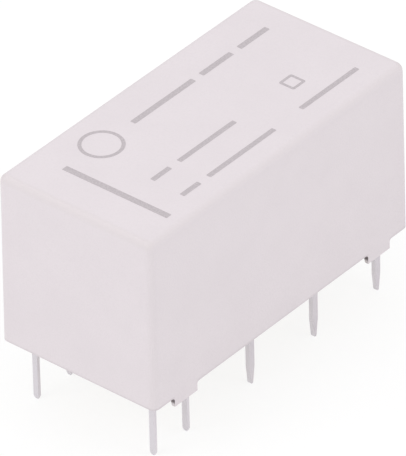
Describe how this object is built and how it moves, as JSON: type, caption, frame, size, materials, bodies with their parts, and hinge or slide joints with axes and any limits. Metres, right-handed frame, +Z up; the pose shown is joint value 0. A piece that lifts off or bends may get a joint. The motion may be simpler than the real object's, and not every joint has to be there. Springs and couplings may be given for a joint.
{
  "type": "electromagnetic relay",
  "caption": "Miniature sealed signal relay: white box with stand-off feet and two rows of thin pins, and a rocking armature, coil and contacts inside.",
  "frame": {"origin": "middle of the case in plan, at the height of the pin tips, which the relay stands on", "axes": "+X along the case from the pin 1 and 16 end to the pin 8 and 9 end, +Y across it from the pin 1 row to the pin 16 row, +Z up from the pins to the top"},
  "size_m": [0.0202, 0.01, 0.0139],
  "materials": {
    "white_case": "satin, slightly pinkish white moulded case",
    "dark_plastic": "fine matt moulding",
    "tan_plastic": "matt moulding",
    "resin": "poured and cured resin",
    "soft_iron": "plated soft iron",
    "magnet": "ground dark grey magnet",
    "copper_wire": "enamelled copper wire",
    "tinned_pin": "tinned",
    "spring_alloy": "thin rolled spring strip",
    "gold_contact": "gold-clad"
  },
  "bodies": {
    "case": {"cover": "white_case", "sealing_resin": "resin", "base": "dark_plastic", "core": "soft_iron", "bobbin": "tan_plastic", "set_winding": "copper_wire", "reset_winding": "copper_wire", "magnet": "magnet", "coil_terminal_1": "tinned_pin", "coil_terminal_2": "tinned_pin", "coil_terminal_15": "tinned_pin", "coil_terminal_16": "tinned_pin", "lead_wire_1": "copper_wire", "lead_wire_2": "copper_wire", "lead_wire_15": "copper_wire", "lead_wire_16": "copper_wire", "contact_terminal_4": "tinned_pin", "contact_terminal_6": "tinned_pin", "contact_terminal_8": "tinned_pin", "contact_terminal_9": "tinned_pin", "contact_terminal_11": "tinned_pin", "contact_terminal_13": "tinned_pin", "fixed_contact_6": "gold_contact", "fixed_contact_8": "gold_contact", "fixed_contact_9": "gold_contact", "fixed_contact_11": "gold_contact"},
    "rocker": {"armature": "soft_iron", "armature_carrier": "dark_plastic", "moving_spring_left": "spring_alloy", "moving_spring_right": "spring_alloy", "contact_left_break_inner": "gold_contact", "contact_left_break_outer": "gold_contact", "contact_left_make_inner": "gold_contact", "contact_left_make_outer": "gold_contact", "contact_right_break_inner": "gold_contact", "contact_right_break_outer": "gold_contact", "contact_right_make_inner": "gold_contact", "contact_right_make_outer": "gold_contact"}
  },
  "joints": [
    {"name": "armature_rock", "type": "hinge", "parent": "case", "child": "rocker", "pos_m": [0, 0, 0.01099], "axis": [0, 1, 0], "range_deg": [0, 3.4]}
  ]
}
